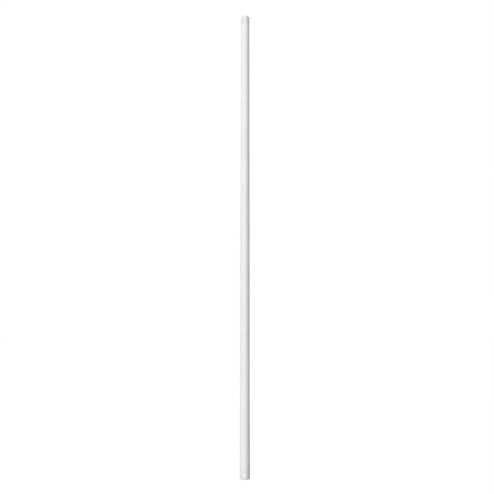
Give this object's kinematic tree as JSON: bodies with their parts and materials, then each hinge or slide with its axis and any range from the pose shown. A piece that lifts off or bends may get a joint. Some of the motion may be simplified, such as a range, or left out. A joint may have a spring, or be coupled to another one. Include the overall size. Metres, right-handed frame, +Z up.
{
  "type": "folding white cane",
  "caption": "Straight round white cane whose tube sections pull apart against an elastic cord, with flush moulded ends and cross pins.",
  "frame": {"origin": "centre of the ground tip's flat end face", "axes": "+Z up the cane from the ground tip to the top cap; the cross pins lie along Y"},
  "size_m": [0.0222, 0.0232, 1.1],
  "materials": {
    "white_powder_coat": "satin",
    "white_nylon": "satin",
    "bare_aluminium": "satin",
    "polished_steel": "polished",
    "braided_elastic": "matte"
  },
  "bodies": {
    "handle_section": {"top_cap": "white_nylon", "top_cap_pin": "polished_steel", "top_cord_crimp": "polished_steel", "elastic_cord": "braided_elastic", "handle_section_tube": "white_powder_coat", "joint_1_ferrule": "bare_aluminium", "joint_1_cord_guide": "white_nylon"},
    "section_2": {"joint_1_liner": "white_nylon", "section_2_tube": "white_powder_coat", "joint_2_ferrule": "bare_aluminium", "joint_2_cord_guide": "white_nylon"},
    "section_3": {"joint_2_liner": "white_nylon", "section_3_tube": "white_powder_coat", "joint_3_ferrule": "bare_aluminium", "joint_3_cord_guide": "white_nylon"},
    "section_4": {"joint_3_liner": "white_nylon", "section_4_tube": "white_powder_coat", "joint_4_ferrule": "bare_aluminium", "joint_4_cord_guide": "white_nylon"},
    "tip_section": {"joint_4_liner": "white_nylon", "tip_section_tube": "white_powder_coat", "ground_tip": "white_nylon", "ground_tip_pin": "polished_steel", "tip_cord_crimp": "polished_steel"}
  },
  "joints": [
    {"name": "joint_1_pull", "type": "slide", "parent": "handle_section", "child": "section_2", "axis": [0, 0, -1], "range_m": [0, 0.06], "stiffness_N_per_m": 120, "springref_m": -0.29, "deforming": ["elastic_cord"]},
    {"name": "joint_2_pull", "type": "slide", "parent": "section_2", "child": "section_3", "axis": [0, 0, -1], "range_m": [0, 0.06], "stiffness_N_per_m": 120, "springref_m": -0.29, "deforming": ["elastic_cord"]},
    {"name": "joint_3_pull", "type": "slide", "parent": "section_3", "child": "section_4", "axis": [0, 0, -1], "range_m": [0, 0.06], "stiffness_N_per_m": 120, "springref_m": -0.29, "deforming": ["elastic_cord"]},
    {"name": "joint_4_pull", "type": "slide", "parent": "section_4", "child": "tip_section", "axis": [0, 0, -1], "range_m": [0, 0.06], "stiffness_N_per_m": 120, "springref_m": -0.29, "deforming": ["elastic_cord"]}
  ]
}
